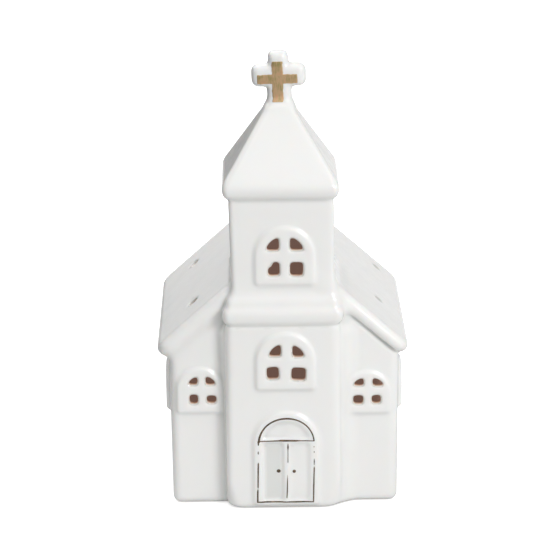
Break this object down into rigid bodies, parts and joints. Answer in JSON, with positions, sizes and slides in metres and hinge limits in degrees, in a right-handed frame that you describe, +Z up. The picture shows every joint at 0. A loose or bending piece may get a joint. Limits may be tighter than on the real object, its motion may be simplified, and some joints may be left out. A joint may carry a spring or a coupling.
{
  "type": "ceramic christmas village church",
  "caption": "White glazed ceramic village church with a gabled nave, pierced arched windows, a front tower with spire and gold cross, lit from below by a plug-in battery light.",
  "frame": {"origin": "on the table under the middle of the piece's box, with the foot rim at z = 0", "axes": "+Z up along the tower, front with the door towards -Y, +X to the viewer's right"},
  "size_m": [0.1152, 0.1177, 0.2101],
  "materials": {
    "glazed_porcelain": "clear gloss glaze over white porcelain",
    "gold_lustre": "hand-painted gold lustre, satin",
    "dark_gold_lustre": "hand-painted gold lustre, thick dabs",
    "moulded_plastic": "ivory, fine moulded texture",
    "soft_rubber": "matt",
    "frosted_plastic": "frosted, lets light through",
    "board_laminate": "green solder mask on glass laminate",
    "zinc_steel": "bright zinc plate",
    "led_lens": "warm tinted clear lens",
    "tinned_leads": "tinned",
    "resistor_body": "lacquered",
    "chip_moulding": "fine matt moulding",
    "switch_steel": "bright folded sheet",
    "knob_plastic": "moulded",
    "cell_steel": "bright drawn can",
    "nickel_contacts": "nickel plate",
    "wire_insulation": "thin soft insulation"
  },
  "bodies": {
    "shell": {"church_shell": "glazed_porcelain", "gold_cross": "gold_lustre", "gold_door_lines": "gold_lustre", "gold_door_knobs": "dark_gold_lustre"},
    "light_unit": {"light_base": "moulded_plastic", "grip_ring": "soft_rubber", "frosted_cover": "frosted_plastic", "circuit_board": "board_laminate", "board_screws": "zinc_steel", "led": "led_lens", "led_leads": "tinned_leads", "resistor": "resistor_body", "timer_chip": "chip_moulding", "switch_case": "switch_steel", "button_cells": "cell_steel", "spring_contact": "nickel_contacts", "plate_contact": "nickel_contacts", "lead_wires": "wire_insulation"},
    "battery_door": {"battery_door": "moulded_plastic", "door_screw": "zinc_steel"},
    "switch_knob": {"switch_knob": "knob_plastic"}
  },
  "joints": [
    {"name": "light_unit_pull", "type": "slide", "parent": "shell", "child": "light_unit", "axis": [0, 0, -1], "range_m": [0, 0.04]},
    {"name": "battery_door_hinge", "type": "hinge", "parent": "light_unit", "child": "battery_door", "pos_m": [-0.01188, -0.00345, 0.00235], "axis": [0, 1, 0], "range_deg": [0, 85]},
    {"name": "switch_slide", "type": "slide", "parent": "light_unit", "child": "switch_knob", "axis": [1, 0, 0], "range_m": [0, 0.0024]}
  ]
}
